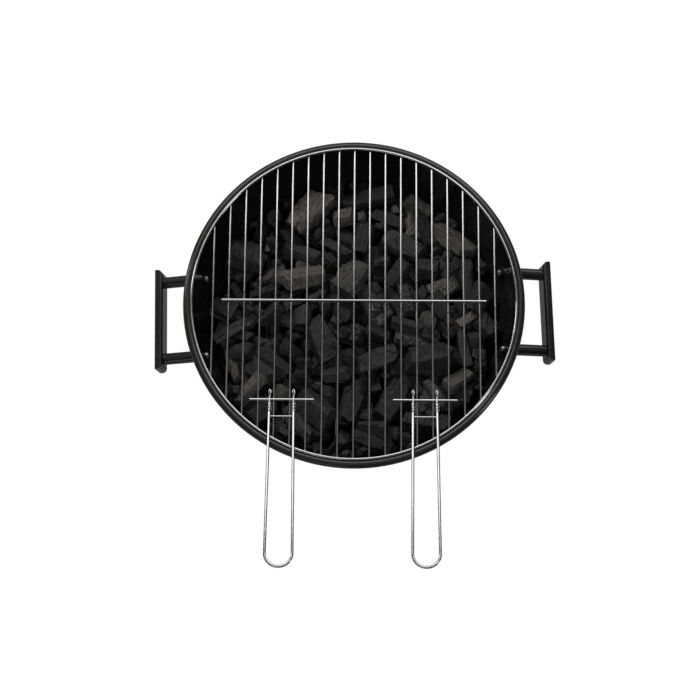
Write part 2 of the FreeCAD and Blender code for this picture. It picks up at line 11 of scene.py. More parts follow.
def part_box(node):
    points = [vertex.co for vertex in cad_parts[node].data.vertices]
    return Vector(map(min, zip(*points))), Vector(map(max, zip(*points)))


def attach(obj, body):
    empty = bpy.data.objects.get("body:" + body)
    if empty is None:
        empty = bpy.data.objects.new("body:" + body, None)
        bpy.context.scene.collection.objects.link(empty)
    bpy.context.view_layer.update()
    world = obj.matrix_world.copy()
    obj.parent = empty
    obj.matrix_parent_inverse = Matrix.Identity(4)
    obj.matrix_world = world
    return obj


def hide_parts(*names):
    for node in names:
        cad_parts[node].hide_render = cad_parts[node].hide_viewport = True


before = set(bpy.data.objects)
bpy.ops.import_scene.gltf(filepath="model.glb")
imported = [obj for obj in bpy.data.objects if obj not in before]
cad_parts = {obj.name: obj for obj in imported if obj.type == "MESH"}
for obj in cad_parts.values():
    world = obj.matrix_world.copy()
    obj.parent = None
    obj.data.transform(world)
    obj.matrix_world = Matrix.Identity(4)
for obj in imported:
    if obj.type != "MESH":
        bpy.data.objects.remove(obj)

# Looks of a portable charcoal grill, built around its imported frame. Sizes are in metres.
# +X is to the right of the person who cooks, -Y is the front, and z = 0 is the table.

LOG = logging.getLogger("grill")
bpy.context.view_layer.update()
MM = 0.001
RIM_BEAD = 4.5 * MM


# ---------------------------------------------------------------- working in Blender

def deselect_all() -> None:
    """Leave nothing selected and no active edit."""
    if bpy.context.mode != "OBJECT":
        bpy.ops.object.mode_set(mode="OBJECT")
    bpy.ops.object.select_all(action="DESELECT")


def take_up(piece: bpy.types.Object) -> None:
    """Select one object alone and make it active.

    Args:
        piece: The object to work on.
    """
    deselect_all()
    piece.select_set(True)
    bpy.context.view_layer.objects.active = piece


def apply_modifiers(piece: bpy.types.Object) -> None:
    """Apply every modifier of an object, in order.

    Args:
        piece: The object whose modifiers become mesh.
    """
    take_up(piece)
    for modifier in list(piece.modifiers):
        bpy.ops.object.modifier_apply(modifier=modifier.name)


def settle(piece: bpy.types.Object) -> None:
    """Move an object's place, turn and scale into its mesh.

    Args:
        piece: The finished object.
    """
    take_up(piece)
    bpy.ops.object.transform_apply(location=True, rotation=True, scale=True)


def join(pieces: list[bpy.types.Object], name: str) -> bpy.types.Object:
    """Join several objects into one.

    Args:
        pieces: The objects to join.
        name: The name of the joined object.

    Returns:
        The joined object.
    """
    deselect_all()
    for piece in pieces:
        piece.select_set(True)
    bpy.context.view_layer.objects.active = pieces[0]
    if len(pieces) > 1:
        bpy.ops.object.join()
    joined = bpy.context.view_layer.objects.active
    joined.name = name
    joined.data.name = name
    return joined


# ---------------------------------------------------------------- node trees

class Sheet:
    """A node tree with short ways to add and wire its nodes."""

    def __init__(self, tree: bpy.types.NodeTree) -> None:
        """Keep the tree.

        Args:
            tree: The node tree to add to.
        """
        self.tree = tree

    def add(self, kind: str, **settings: object) -> bpy.types.Node:
        """Add a node.

        Args:
            kind: The node's type name.
            settings: Properties to set on it.

        Returns:
            The new node.
        """
        node = self.tree.nodes.new(kind)
        for name, value in settings.items():
            setattr(node, name, value)
        return node

    def feed(self, socket: bpy.types.NodeSocket, value: object) -> None:
        """Wire a socket, or set its own value.

        Args:
            socket: The input to feed.
            value: Another node's output, or a constant.
        """
        if isinstance(value, bpy.types.NodeSocket):
            self.tree.links.new(value, socket)
        else:
            socket.default_value = value

    def stretch(self, vector: object, scale: tuple,
                turn: tuple = (0.0, 0.0, 0.0)) -> bpy.types.NodeSocket:
        """Coordinates turned and stretched.

        Args:
            vector: The coordinates.
            scale: The stretch along each axis.
            turn: The turn about each axis, in radians.

        Returns:
            The vector output.
        """
        mapping = self.add("ShaderNodeMapping")
        self.feed(mapping.inputs["Vector"], vector)
        self.feed(mapping.inputs["Rotation"], turn)
        self.feed(mapping.inputs["Scale"], scale)
        return mapping.outputs["Vector"]

    def place(self, scale: tuple = (1.0, 1.0, 1.0)) -> bpy.types.NodeSocket:
        """Object coordinates, stretched.

        Args:
            scale: The stretch along each axis.

        Returns:
            The vector output.
        """
        source = self.add("ShaderNodeTexCoord")
        return self.stretch(source.outputs["Object"], scale)

    def upward(self) -> bpy.types.NodeSocket:
        """How far a face looks up.

        Returns:
            The normal's height, from -1 to 1.
        """
        facing = self.add("ShaderNodeNewGeometry")
        parts = self.add("ShaderNodeSeparateXYZ")
        self.feed(parts.inputs[0], facing.outputs["Normal"])
        return parts.outputs["Z"]

    def noise(self, vector: object, scale: object, detail: float = 2.0,
              roughness: float = 0.5, distortion: float = 0.0) -> bpy.types.NodeSocket:
        """A noise texture's value.

        Args:
            vector: The coordinates.
            scale: The pattern's scale per metre.
            detail: The number of finer octaves.
            roughness: How strong the finer octaves are.
            distortion: How much the pattern is bent.

        Returns:
            The value output, about 0.5 on average.
        """
        node = self.add("ShaderNodeTexNoise")
        self.feed(node.inputs["Vector"], vector)
        self.feed(node.inputs["Scale"], scale)
        self.feed(node.inputs["Detail"], detail)
        self.feed(node.inputs["Roughness"], roughness)
        self.feed(node.inputs["Distortion"], distortion)
        return node.outputs["Fac"]

    def cells(self, vector: object, scale: object, feature: str = "F1") -> bpy.types.NodeSocket:
        """A Voronoi texture's distance.

        Args:
            vector: The coordinates.
            scale: The pattern's scale per metre.
            feature: Which distance is measured.

        Returns:
            The distance output.
        """
        node = self.add("ShaderNodeTexVoronoi", feature=feature)
        self.feed(node.inputs["Vector"], vector)
        self.feed(node.inputs["Scale"], scale)
        return node.outputs["Distance"]

    def span(self, value: object, low: float, high: float, to_low: object,
             to_high: object) -> bpy.types.NodeSocket:
        """Move a value from one range to another, held at both ends.

        Args:
            value: The value.
            low: The range's start.
            high: The range's end.
            to_low: What the start becomes.
            to_high: What the end becomes.

        Returns:
            The result.
        """
        node = self.add("ShaderNodeMapRange", clamp=True)
        self.feed(node.inputs["Value"], value)
        self.feed(node.inputs["From Min"], low)
        self.feed(node.inputs["From Max"], high)
        self.feed(node.inputs["To Min"], to_low)
        self.feed(node.inputs["To Max"], to_high)
        return node.outputs["Result"]

    def sum(self, operation: str, first: object, second: object) -> bpy.types.NodeSocket:
        """One sum on two numbers.

        Args:
            operation: The Math node's operation.
            first: The first number.
            second: The second number.

        Returns:
            The result.
        """
        node = self.add("ShaderNodeMath", operation=operation)
        self.feed(node.inputs[0], first)
        self.feed(node.inputs[1], second)
        return node.outputs[0]

    def blend(self, mask: object, first: object, second: object) -> bpy.types.NodeSocket:
        """Mix two colours.

        Args:
            mask: 0 gives the first colour and 1 the second.
            first: The first colour.
            second: The second colour.

        Returns:
            The mixed colour.
        """
        node = self.add("ShaderNodeMix", data_type="RGBA")
        self.feed(node.inputs[0], mask)
        self.feed(node.inputs[6], first)
        self.feed(node.inputs[7], second)
        return node.outputs[2]

    def bump(self, height: object, distance: float) -> bpy.types.NodeSocket:
        """A Bump node's normal.

        Args:
            height: The height, 0 to 1.
            distance: How far a height of 1 stands out, in metres.

        Returns:
            The normal.
        """
        node = self.add("ShaderNodeBump")
        self.feed(node.inputs["Height"], height)
        self.feed(node.inputs["Distance"], distance)
        node.inputs["Strength"].default_value = 1.0
        return node.outputs["Normal"]

    def group(self, tree: bpy.types.NodeTree, **values: object) -> bpy.types.Node:
        """Place a shader group.

        Args:
            tree: The group.
            values: Its inputs by name, with _ for a space.

        Returns:
            The group's node.
        """
        node = self.add("ShaderNodeGroup", node_tree=tree)
        for name, value in values.items():
            self.feed(node.inputs[name.replace("_", " ")], value)
        return node


def start_group(name: str, inputs: dict[str, tuple[str, float]],
                outputs: dict[str, str]) -> tuple[Sheet, bpy.types.Node, bpy.types.Node]:
    """Start a shader node group.

    Args:
        name: The group's name.
        inputs: Each input's short socket type and default, by name.
        outputs: Each output's short socket type, by name.

    Returns:
        The group's sheet, its input node and its output node.
    """
    tree = bpy.data.node_groups.new(name, "ShaderNodeTree")
    for socket_name, (kind, default) in inputs.items():
        socket = tree.interface.new_socket(socket_name, in_out="INPUT",
                                           socket_type="NodeSocket" + kind)
        if kind == "Float":
            socket.default_value = default
    for socket_name, kind in outputs.items():
        tree.interface.new_socket(socket_name, in_out="OUTPUT", socket_type="NodeSocket" + kind)
    sheet = Sheet(tree)
    return sheet, sheet.add("NodeGroupInput"), sheet.add("NodeGroupOutput")


@dataclass
class Effects:
    """Shader groups that several finishes share."""

    relief: bpy.types.NodeTree = field(init=False)
    handling: bpy.types.NodeTree = field(init=False)
    settled_dust: bpy.types.NodeTree = field(init=False)
    worn_edges: bpy.types.NodeTree = field(init=False)

    def __post_init__(self) -> None:
        """Build each group once."""
        self.relief = self.make_relief()
        self.handling = self.make_handling()
        self.settled_dust = self.make_settled_dust()
        self.worn_edges = self.make_worn_edges()

    def make_relief(self) -> bpy.types.NodeTree:
        """A fine skin relief: soft waves with a finer grain on them.

        Returns:
            The group, with a Height output.
        """
        sheet, given, result = start_group(
            "skin_relief",
            {"Vector": ("Vector", 0.0), "Waves": ("Float", 120.0), "Grain": ("Float", 900.0),
             "Grain Share": ("Float", 0.3)},
            {"Height": "Float"})
        waves = sheet.noise(given.outputs["Vector"], given.outputs["Waves"], 2.0)
        grain = sheet.noise(given.outputs["Vector"], given.outputs["Grain"], 3.0, 0.6)
        share = sheet.sum("MULTIPLY", grain, given.outputs["Grain Share"])
        sheet.feed(result.inputs["Height"], sheet.sum("ADD", waves, share))
        return sheet.tree

    def make_handling(self) -> bpy.types.NodeTree:
        """Marks of handling: cloudy smears crossed by fine wiping lines.

        Returns:
            The group, with a Mask output.
        """
        sheet, given, result = start_group(
            "handling_marks",
            {"Vector": ("Vector", 0.0), "Smear Scale": ("Float", 14.0),
             "Line Scale": ("Float", 60.0)},
            {"Mask": "Float"})
        smears = sheet.noise(given.outputs["Vector"], given.outputs["Smear Scale"], 4.0, 0.55, 0.4)
        wiped = sheet.stretch(given.outputs["Vector"], (1.0, 14.0, 6.0), (0.3, 0.2, 0.7))
        lines = sheet.noise(wiped, given.outputs["Line Scale"], 3.0, 0.6)
        both = sheet.sum("MULTIPLY", sheet.span(smears, 0.4, 0.65, 0.0, 1.0),
                         sheet.span(lines, 0.35, 0.7, 0.45, 1.0))
        sheet.feed(result.inputs["Mask"], both)
        return sheet.tree

    def make_settled_dust(self) -> bpy.types.NodeTree:
        """Fine dust that lies on faces that look up, thicker in patches.

        Returns:
            The group, with a Mask output.
        """
        sheet, given, result = start_group(
            "settled_dust",
            {"Vector": ("Vector", 0.0), "Patch Scale": ("Float", 25.0), "Amount": ("Float", 0.5)},
            {"Mask": "Float"})
        upward = sheet.span(sheet.upward(), 0.2, 0.95, 0.0, 1.0)
        patches = sheet.noise(given.outputs["Vector"], given.outputs["Patch Scale"], 6.0, 0.65)
        thick = sheet.sum("MULTIPLY", upward, sheet.span(patches, 0.4, 0.7, 0.1, 1.0))
        sheet.feed(result.inputs["Mask"], sheet.sum("MULTIPLY", thick, given.outputs["Amount"]))
        return sheet.tree

    def make_worn_edges(self) -> bpy.types.NodeTree:
        """Edges that a broad brush would touch first, broken up by noise.

        Returns:
            The group, with a Mask output.
        """
        sheet, given, result = start_group(
            "worn_edges",
            {"Vector": ("Vector", 0.0), "Width": ("Float", 0.0006), "Amount": ("Float", 0.5)},
            {"Mask": "Float"})
        rounded = sheet.add("ShaderNodeBevel", samples=4)
        sheet.feed(rounded.inputs["Radius"], given.outputs["Width"])
        facing = sheet.add("ShaderNodeNewGeometry")
        agree = sheet.add("ShaderNodeVectorMath", operation="DOT_PRODUCT")
        sheet.feed(agree.inputs[0], rounded.outputs["Normal"])
        sheet.feed(agree.inputs[1], facing.outputs["Normal"])
        edge = sheet.span(agree.outputs["Value"], 0.99, 0.85, 0.0, 1.0)
        broken = sheet.span(sheet.noise(given.outputs["Vector"], 300.0, 4.0, 0.6),
                            0.42, 0.6, 0.0, 1.0)
        rubbed = sheet.sum("MULTIPLY", edge, broken)
        sheet.feed(result.inputs["Mask"], sheet.sum("MULTIPLY", rubbed, given.outputs["Amount"]))
        return sheet.tree


# ---------------------------------------------------------------- finishes

def start_material(name: str) -> tuple[Sheet, bpy.types.Node, bpy.types.Material]:
    """Start a material with a Principled shader.

    Args:
        name: The material's name.

    Returns:
        Its sheet, its Principled node and the material.
    """
    material = bpy.data.materials.new(name)
    material.use_nodes = True
    sheet = Sheet(material.node_tree)
    return sheet, material.node_tree.nodes["Principled BSDF"], material


def grey(value: float, warm: float = 0.0) -> tuple[float, float, float, float]:
    """A grey with a little warmth.

    Args:
        value: How light it is, in linear light.
        warm: The share by which red rises and blue falls.

    Returns:
        The colour.
    """
    return (value * (1 + warm), value, value * (1 - warm), 1.0)


@dataclass(frozen=True)
class Enamel:
    """Black glass enamel on pressed sheet, with a faint ripple and a film of coal dust."""

    name: str = "black_enamel"
    tone: float = 0.012
    gloss_low: float = 0.12
    gloss_high: float = 0.24
    coat: float = 0.3
    ripple: float = 0.00005

    def build(self, effects: Effects) -> bpy.types.Material:
        """Make the material.

        Args:
            effects: The shared shader groups.

        Returns:
            The material.
        """
        sheet, shader, material = start_material(self.name)
        where = sheet.place()
        relief = sheet.group(effects.relief, Vector=where, Waves=260.0, Grain=1500.0,
                             Grain_Share=0.12)
        marks = sheet.group(effects.handling, Vector=where, Smear_Scale=11.0)
        dust = sheet.group(effects.settled_dust, Vector=where, Patch_Scale=45.0, Amount=0.1)
        tint = sheet.blend(sheet.noise(where, 9.0, 3.0), grey(self.tone, 0.12),
                           grey(self.tone * 1.5, 0.2))
        sheet.feed(shader.inputs["Base Color"], sheet.blend(dust.outputs["Mask"], tint,
                                                            grey(0.022, 0.06)))
        smooth = sheet.span(marks.outputs["Mask"], 0.0, 1.0, self.gloss_low, self.gloss_high)
        dusty = sheet.sum("MULTIPLY", dust.outputs["Mask"], 0.45)
        sheet.feed(shader.inputs["Roughness"], sheet.sum("ADD", smooth, dusty))
        sheet.feed(shader.inputs["Coat Weight"],
                   sheet.span(dust.outputs["Mask"], 0.0, 0.5, self.coat, self.coat / 3))
        shader.inputs["Coat Roughness"].default_value = 0.03
        sheet.feed(shader.inputs["Normal"], sheet.bump(relief.outputs["Height"], self.ripple))
        return material


@dataclass(frozen=True)
class Moulding:
    """Hard black moulded resin: glossy for the grips, or matt with a grain for the feet."""

    name: str
    tone: float
    gloss_low: float
    gloss_high: float
    coat: float
    grain_scale: float
    grain_height: float

    def build(self, effects: Effects) -> bpy.types.Material:
        """Make the material.

        Args:
            effects: The shared shader groups.

        Returns:
            The material.
        """
        sheet, shader, material = start_material(self.name)
        where = sheet.place()
        relief = sheet.group(effects.relief, Vector=where, Waves=90.0, Grain=self.grain_scale,
                             Grain_Share=0.5)
        marks = sheet.group(effects.handling, Vector=where, Smear_Scale=30.0, Line_Scale=120.0)
        edges = sheet.group(effects.worn_edges, Vector=where, Width=0.0008, Amount=0.35)
        flow = sheet.noise(sheet.place((1.0, 0.25, 1.0)), 60.0, 5.0, 0.6, 0.8)
        body = sheet.blend(flow, grey(self.tone), grey(self.tone * 1.6, 0.05))
        sheet.feed(shader.inputs["Base Color"],
                   sheet.blend(edges.outputs["Mask"], body, grey(self.tone * 3.5)))
        sheet.feed(shader.inputs["Roughness"],
                   sheet.span(marks.outputs["Mask"], 0.0, 1.0, self.gloss_low, self.gloss_high))
        shader.inputs["Coat Weight"].default_value = self.coat
        shader.inputs["Coat Roughness"].default_value = 0.05
        sheet.feed(shader.inputs["Normal"],
                   sheet.bump(relief.outputs["Height"], self.grain_height))
        return material


@dataclass(frozen=True)
class PlatedWire:
    """Bright plated steel wire with draw lines, a soft cloudiness, and painted shade on the faces
    that look down, which are also made rougher.
    """

    name: str
    tone: float
    gloss_low: float
    gloss_high: float
    # How strongly the faces that look down are darkened, as painted shade.
    underside_shade: float
    warm: float = 0.015
    ripple: float = 0.000001

    def build(self, effects: Effects) -> bpy.types.Material:
        """Make the material.

        Args:
            effects: The shared shader groups.

        Returns:
            The material.
        """
        sheet, shader, material = start_material(self.name)
        where = sheet.place()
        cloud = sheet.noise(where, 55.0, 5.0, 0.6)
        marks = sheet.group(effects.handling, Vector=where, Smear_Scale=40.0, Line_Scale=300.0)
        relief = sheet.group(effects.relief, Vector=where, Waves=150.0, Grain=1400.0,
                             Grain_Share=0.05)
        plated = sheet.blend(sheet.span(cloud, 0.3, 0.7, 0.0, 1.0), grey(self.tone, self.warm),
                             grey(self.tone * 0.86, self.warm * 2))
        # Painted shade: faces that look down are darkened towards a near-black grey, patchy with
        # the cloud noise, and made rougher.
        below = sheet.span(sheet.upward(), 0.1, -0.8, 0.0, self.underside_shade)
        shaded_underside = sheet.sum("MULTIPLY", below, sheet.span(cloud, 0.35, 0.65, 0.4, 1.0))
        sheet.feed(shader.inputs["Base Color"], sheet.blend(shaded_underside, plated, grey(0.03, 0.1)))
        shader.inputs["Metallic"].default_value = 1.0
        smooth = sheet.span(marks.outputs["Mask"], 0.0, 1.0, self.gloss_low, self.gloss_high)
        sheet.feed(shader.inputs["Roughness"],
                   sheet.sum("ADD", smooth, sheet.sum("MULTIPLY", shaded_underside, 0.5)))
        sheet.feed(shader.inputs["Normal"], sheet.bump(relief.outputs["Height"], self.ripple))
        return material


@dataclass(frozen=True)
class RolledSteel:
    """Bare or zinc-plated steel with rolling lines one way and small bright specks."""

    name: str
    tone: float
    line_scale: float
    gloss_low: float
    gloss_high: float
    warm: float

    def build(self, effects: Effects) -> bpy.types.Material:
        """Make the material.

        Args:
            effects: The shared shader groups.

        Returns:
            The material.
        """
        sheet, shader, material = start_material(self.name)
        lines = sheet.noise(sheet.place((1.0, 18.0, 4.0)), self.line_scale, 4.0, 0.6)
        where = sheet.place()
        spangle = sheet.cells(where, 220.0)
        edges = sheet.group(effects.worn_edges, Vector=where, Width=0.0005, Amount=0.6)
        marks = sheet.group(effects.handling, Vector=where, Smear_Scale=25.0)
        base = sheet.blend(sheet.span(spangle, 0.1, 0.9, 0.0, 1.0), grey(self.tone, self.warm),
                           grey(self.tone * 0.75, -self.warm))
        sheet.feed(shader.inputs["Base Color"],
                   sheet.blend(edges.outputs["Mask"], base, grey(0.85)))
        shader.inputs["Metallic"].default_value = 1.0
        brushed = sheet.span(lines, 0.3, 0.7, self.gloss_low, self.gloss_high)
        sheet.feed(shader.inputs["Roughness"],
                   sheet.sum("ADD", brushed, sheet.sum("MULTIPLY", marks.outputs["Mask"], 0.12)))
        sheet.feed(shader.inputs["Normal"], sheet.bump(lines, 0.00002))
        return material


@dataclass(frozen=True)
class Charcoal:
    """Burnt wood: matt, with its grain along each lump and small cracks across it."""

    name: str = "charcoal"
    dark: float = 0.018
    light: float = 0.1
    crack: float = 0.0014

    def build(self, effects: Effects) -> bpy.types.Material:
        """Make the material. It reads the lump_place and lump_tone attributes.

        Args:
            effects: The shared shader groups.

        Returns:
            The material.
        """
        sheet, shader, material = start_material(self.name)
        local = sheet.add("ShaderNodeAttribute", attribute_name="lump_place").outputs["Vector"]
        tone = sheet.add("ShaderNodeAttribute", attribute_name="lump_tone").outputs["Fac"]
        along = sheet.stretch(local, (0.14, 1.0, 1.0))
        grain = sheet.noise(along, 520.0, 6.0, 0.7, 0.6)
        bands = sheet.noise(along, 170.0, 4.0, 0.55, 1.2)
        crumb = sheet.noise(local, 1300.0, 3.0, 0.7)
        across = sheet.stretch(local, (1.0, 0.45, 0.45))
        cracks = sheet.cells(across, 130.0, "DISTANCE_TO_EDGE")
        open_crack = sheet.sum("MULTIPLY", sheet.span(cracks, 0.0, 0.05, 1.0, 0.0),
                               sheet.span(bands, 0.45, 0.6, 0.0, 1.0))
        # Lumps with a light tone are the broken, grainy ones. Their grain catches more light.
        rough_lump = sheet.span(tone, 0.45, 0.95, 0.0, 1.0)
        fleck = sheet.span(sheet.sum("ADD", grain, sheet.sum("MULTIPLY", crumb, 0.35)),
                           0.5, 0.95, 0.0, 1.0)
        shine = sheet.sum("MULTIPLY", fleck, sheet.span(rough_lump, 0.0, 1.0, 0.25, 1.0))
        quiet = sheet.blend(tone, grey(self.dark, 0.06), grey(self.light * 0.45, 0.08))
        lit = sheet.blend(shine, quiet, sheet.blend(rough_lump, grey(self.light * 0.7, 0.06),
                                                    grey(self.light * 2.4, 0.12)))
        sheet.feed(shader.inputs["Base Color"], sheet.blend(open_crack, lit, grey(0.004)))
        sheet.feed(shader.inputs["Roughness"],
                   sheet.sum("ADD", sheet.span(bands, 0.3, 0.7, 0.5, 0.72),
                             sheet.sum("MULTIPLY", rough_lump, 0.2)))
        shader.inputs["Specular IOR Level"].default_value = 0.35
        raised = sheet.sum("MULTIPLY", grain, sheet.span(rough_lump, 0.0, 1.0, 0.3, 1.0))
        height = sheet.sum("ADD", raised, sheet.sum("MULTIPLY", bands, 0.8))
        cut = sheet.sum("SUBTRACT", height, open_crack)
        sheet.feed(shader.inputs["Normal"], sheet.bump(cut, self.crack))
        return material


@dataclass(frozen=True)
class StudioWhite:
    """The pale floor: it looks white, and sends only a soft grey light back up."""

    name: str = "studio_white"
    seen: float = 0.98
    cast: float = 0.2
    bounce: float = 0.07

    def build(self) -> bpy.types.Material:
        """Make the material.

        Returns:
            The material.
        """
        sheet, shader, material = start_material(self.name)
        mottle = sheet.noise(sheet.place(), 3.0, 3.0)
        sheet.feed(shader.inputs["Base Color"],
                   sheet.blend(mottle, grey(self.bounce), grey(self.bounce * 1.06)))
        shader.inputs["Roughness"].default_value = 0.9
        shader.inputs["Specular IOR Level"].default_value = 0.1
        glow = sheet.add("ShaderNodeEmission")
        path = sheet.add("ShaderNodeLightPath")
        sheet.feed(glow.inputs["Strength"], sheet.span(path.outputs["Is Camera Ray"], 0.0, 1.0,
                                                       self.cast, self.seen))
        lit = sheet.add("ShaderNodeAddShader")
        sheet.feed(lit.inputs[0], shader.outputs[0])
        sheet.feed(lit.inputs[1], glow.outputs[0])
        result = material.node_tree.nodes["Material Output"]
        sheet.feed(result.inputs["Surface"], lit.outputs[0])
        return material


def dress(nodes: list[str], material: bpy.types.Material) -> None:
    """Give CAD nodes a finish.

    Args:
        nodes: The nodes' names.
        material: The finish.
    """
    for name in nodes:
        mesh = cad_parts[name].data
        for index in range(len(mesh.materials)):
            mesh.materials[index] = material


# ---------------------------------------------------------------- the grill

@dataclass
class Stand:
    """The bowl with its air damper, three legs and their hardware."""

    effects: Effects
    bowl: list[str] = field(default_factory=lambda: ["bowl"])
    damper: list[str] = field(default_factory=lambda: ["air_damper"])
    legs: list[str] = field(default_factory=lambda: ["leg_back", "leg_front_left",
                                                     "leg_front_right"])
    feet: list[str] = field(default_factory=lambda: ["foot_back", "foot_front_left",
                                                     "foot_front_right"])
    hardware: list[str] = field(default_factory=lambda: ["leg_plugs", "leg_saddles", "leg_bolts",
                                                         "damper_rivet", "damper_washer"])

    def build(self, zinc: bpy.types.Material) -> None:
        """Dress the stand.

        Args:
            zinc: The finish of the hardware.
        """
        dress(self.bowl, Enamel().build(self.effects))
        dress(self.damper, RolledSteel("damper_steel", 0.5, 160.0, 0.3, 0.5, 0.01)
              .build(self.effects))
        dress(self.legs, PlatedWire("leg_chrome", 0.8, 0.06, 0.2, 0.0).build(self.effects))
        dress(self.feet, Moulding("foot_plastic", 0.012, 0.5, 0.7, 0.0, 1800.0, 0.00012)
              .build(self.effects))
        dress(self.hardware, zinc)


@dataclass
class SideHandles:
    """The two moulded side handles and the hardware that holds them."""

    effects: Effects
    mouldings: list[str] = field(default_factory=lambda: ["left_grip", "right_grip",
                                                          "left_grip_posts", "right_grip_posts",
                                                          "grip_washers"])
    hardware: list[str] = field(default_factory=lambda: ["grip_screws", "grip_inserts"])

    def build(self, zinc: bpy.types.Material) -> None:
        """Dress the handles.

        Args:
            zinc: The finish of the hardware.
        """
        dress(self.mouldings, Moulding("phenolic", 0.008, 0.16, 0.32, 0.6, 500.0, 0.00004)
              .build(self.effects))
        dress(self.hardware, zinc)


@dataclass
class CookingGrid:
    """The wire grid, its two hinged wire handles and their twisted hinge loops."""

    effects: Effects
    wires: list[str] = field(default_factory=lambda: [
        "grid_ring", "grid_bars", "grid_cross_bar", "left_handle_bar", "right_handle_bar",
        "left_wire_handle", "right_wire_handle", "left_tie_bar", "right_tie_bar"])
    loop_wire: float = 0.7 * MM
    leg_wire: float = 1.5 * MM
    bar_wire: float = 1.4 * MM
    front: float = -13.3 * MM
    twist_end: float = -3.8 * MM
    eye_start: float = 2.6 * MM
    back: float = 11.3 * MM
    eye_half: float = 1.15 * MM
    twists: float = 1.5

    def strand(self, along: float, over: float) -> tuple[float, float]:
        """How far one strand of a hinge loop stands from the leg's axis.

        Args:
            along: Distance behind the short bar, along the handle.
            over: 1 for the strand that passes over the bar, -1 for the other.

        Returns:
            The distance sideways and the distance up.
        """
        if along < self.twist_end:
            share = (along - self.front) / (self.twist_end - self.front)
            angle = math.pi * (0.5 + 2 * self.twists * (share - 1))
            reach = self.leg_wire + self.loop_wire
            return over * reach * math.cos(angle), over * reach * math.sin(angle)
        clear = self.bar_wire + self.loop_wire
        if along < self.eye_start:
            return 0.0, over * clear
        share = (along - self.eye_start) / (self.back - self.eye_start)
        lean = math.sin(math.pi * min(share * 1.25, 1.0) / 2)
        narrow = math.cos(math.pi / 2 * share ** 3)
        return over * self.eye_half * lean * narrow, over * clear * (1 - lean)

    def loop_points(self, leg: Vector, slope: float) -> list[Vector]:
        """The whole course of one hinge loop.

        Args:
            leg: Where the leg's axis crosses the short bar's.
            slope: How far the handle rises towards its tip, in radians.

        Returns:
            The points, from the free end of one strand to that of the other.
        """
        backward = Vector((0.0, math.cos(slope), -math.sin(slope)))
        upward = Vector((0.0, math.sin(slope), math.cos(slope)))
        steps = [self.front + (self.back - self.front) * index / 34 for index in range(35)]
        course = [(along, 1.0) for along in steps] + [(along, -1.0) for along in reversed(steps)]
        points = []
        for along, over in course:
            sideways, up = self.strand(along, over)
            points.append(leg + backward * along + upward * up + Vector((sideways, 0, 0)))
        return points

    def bend_loop(self, name: str, points: list[Vector]) -> bpy.types.Object:
        """Bend a wire along points.

        Args:
            name: The wire's name.
            points: Its course.

        Returns:
            The wire as a mesh.
        """
        deselect_all()
        bpy.ops.curve.primitive_nurbs_path_add(radius=1.0)
        wire = bpy.context.active_object
        wire.name = name
        spline = wire.data.splines[0]
        spline.points.add(len(points) - len(spline.points))
        for point, place in zip(spline.points, points):
            point.co = (*place, 1.0)
        spline.order_u = 3
        spline.use_endpoint_u = True
        wire.data.resolution_u = 2
        wire.data.bevel_depth = self.loop_wire
        wire.data.bevel_resolution = 2
        wire.data.use_fill_caps = True
        bpy.ops.object.convert(target="MESH")
        wire = bpy.context.active_object
        bpy.ops.object.shade_smooth()
        return wire

    def build_loops(self, side: str, chrome: bpy.types.Material) -> bpy.types.Object:
        """Make both hinge loops of one handle.

        Args:
            side: "left" or "right".
            chrome: Their finish.

        Returns:
            The two loops as one piece.
        """
        low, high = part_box(side + "_hinge_loops")
        bar_low, bar_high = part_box(side + "_handle_bar")
        handle_low, handle_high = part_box(side + "_wire_handle")
        bar = (bar_low + bar_high) / 2
        rise = handle_high.z - self.leg_wire - bar.z
        slope = math.atan2(rise, bar.y - handle_low.y - self.leg_wire)
        loops = []
        for index, x in enumerate((low.x + self.loop_wire, high.x - self.loop_wire)):
            points = self.loop_points(Vector((x, bar.y, bar.z)), slope)
            loops.append(self.bend_loop(f"{side}_loop_{index}", points))
        piece = join(loops, side + "_twisted_loops")
        settle(piece)
        piece.data.materials.clear()
        piece.data.materials.append(chrome)
        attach(piece, side + "_handle")
        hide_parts(side + "_hinge_loops")
        return piece

    def build(self) -> None:
        """Dress the wires and bend the hinge loops."""
        chrome = PlatedWire("grid_chrome", 0.72, 0.08, 0.18, 0.35).build(self.effects)
        dress(self.wires + ["left_hinge_loops", "right_hinge_loops"], chrome)
        for side in ("left", "right"):
            piece = self.build_loops(side, chrome)
            LOG.info("%s: %d faces", piece.name, len(piece.data.polygons))


class Lump(Enum):
    """The kinds of charcoal lump, with length, width and height in millimetres."""

    BLOCK = (56.0, 40.0, 27.0)
    SLAB = (50.0, 34.0, 16.0)
    SPLIT = (62.0, 23.0, 17.0)
    WEDGE = (40.0, 30.0, 24.0)
    STICK = (46.0, 13.0, 11.0)
    CHIP = (32.0, 22.0, 12.0)
    NUGGET = (24.0, 19.0, 15.0)
    CRUMB = (13.0, 9.0, 7.0)


@dataclass(frozen=True)
class ChosenLump:
    """A lump that is laid on top of the heap at a chosen place.

    Its x and y are millimetres from the bowl's axis, and its heading is in degrees from +X.
    """

    kind: Lump
    x: float
    y: float
    heading: float
    tone: float


@dataclass
class LumpShape:
    """One modelled lump, ready to be copied."""

    piece: bpy.types.Object
    samples: np.ndarray


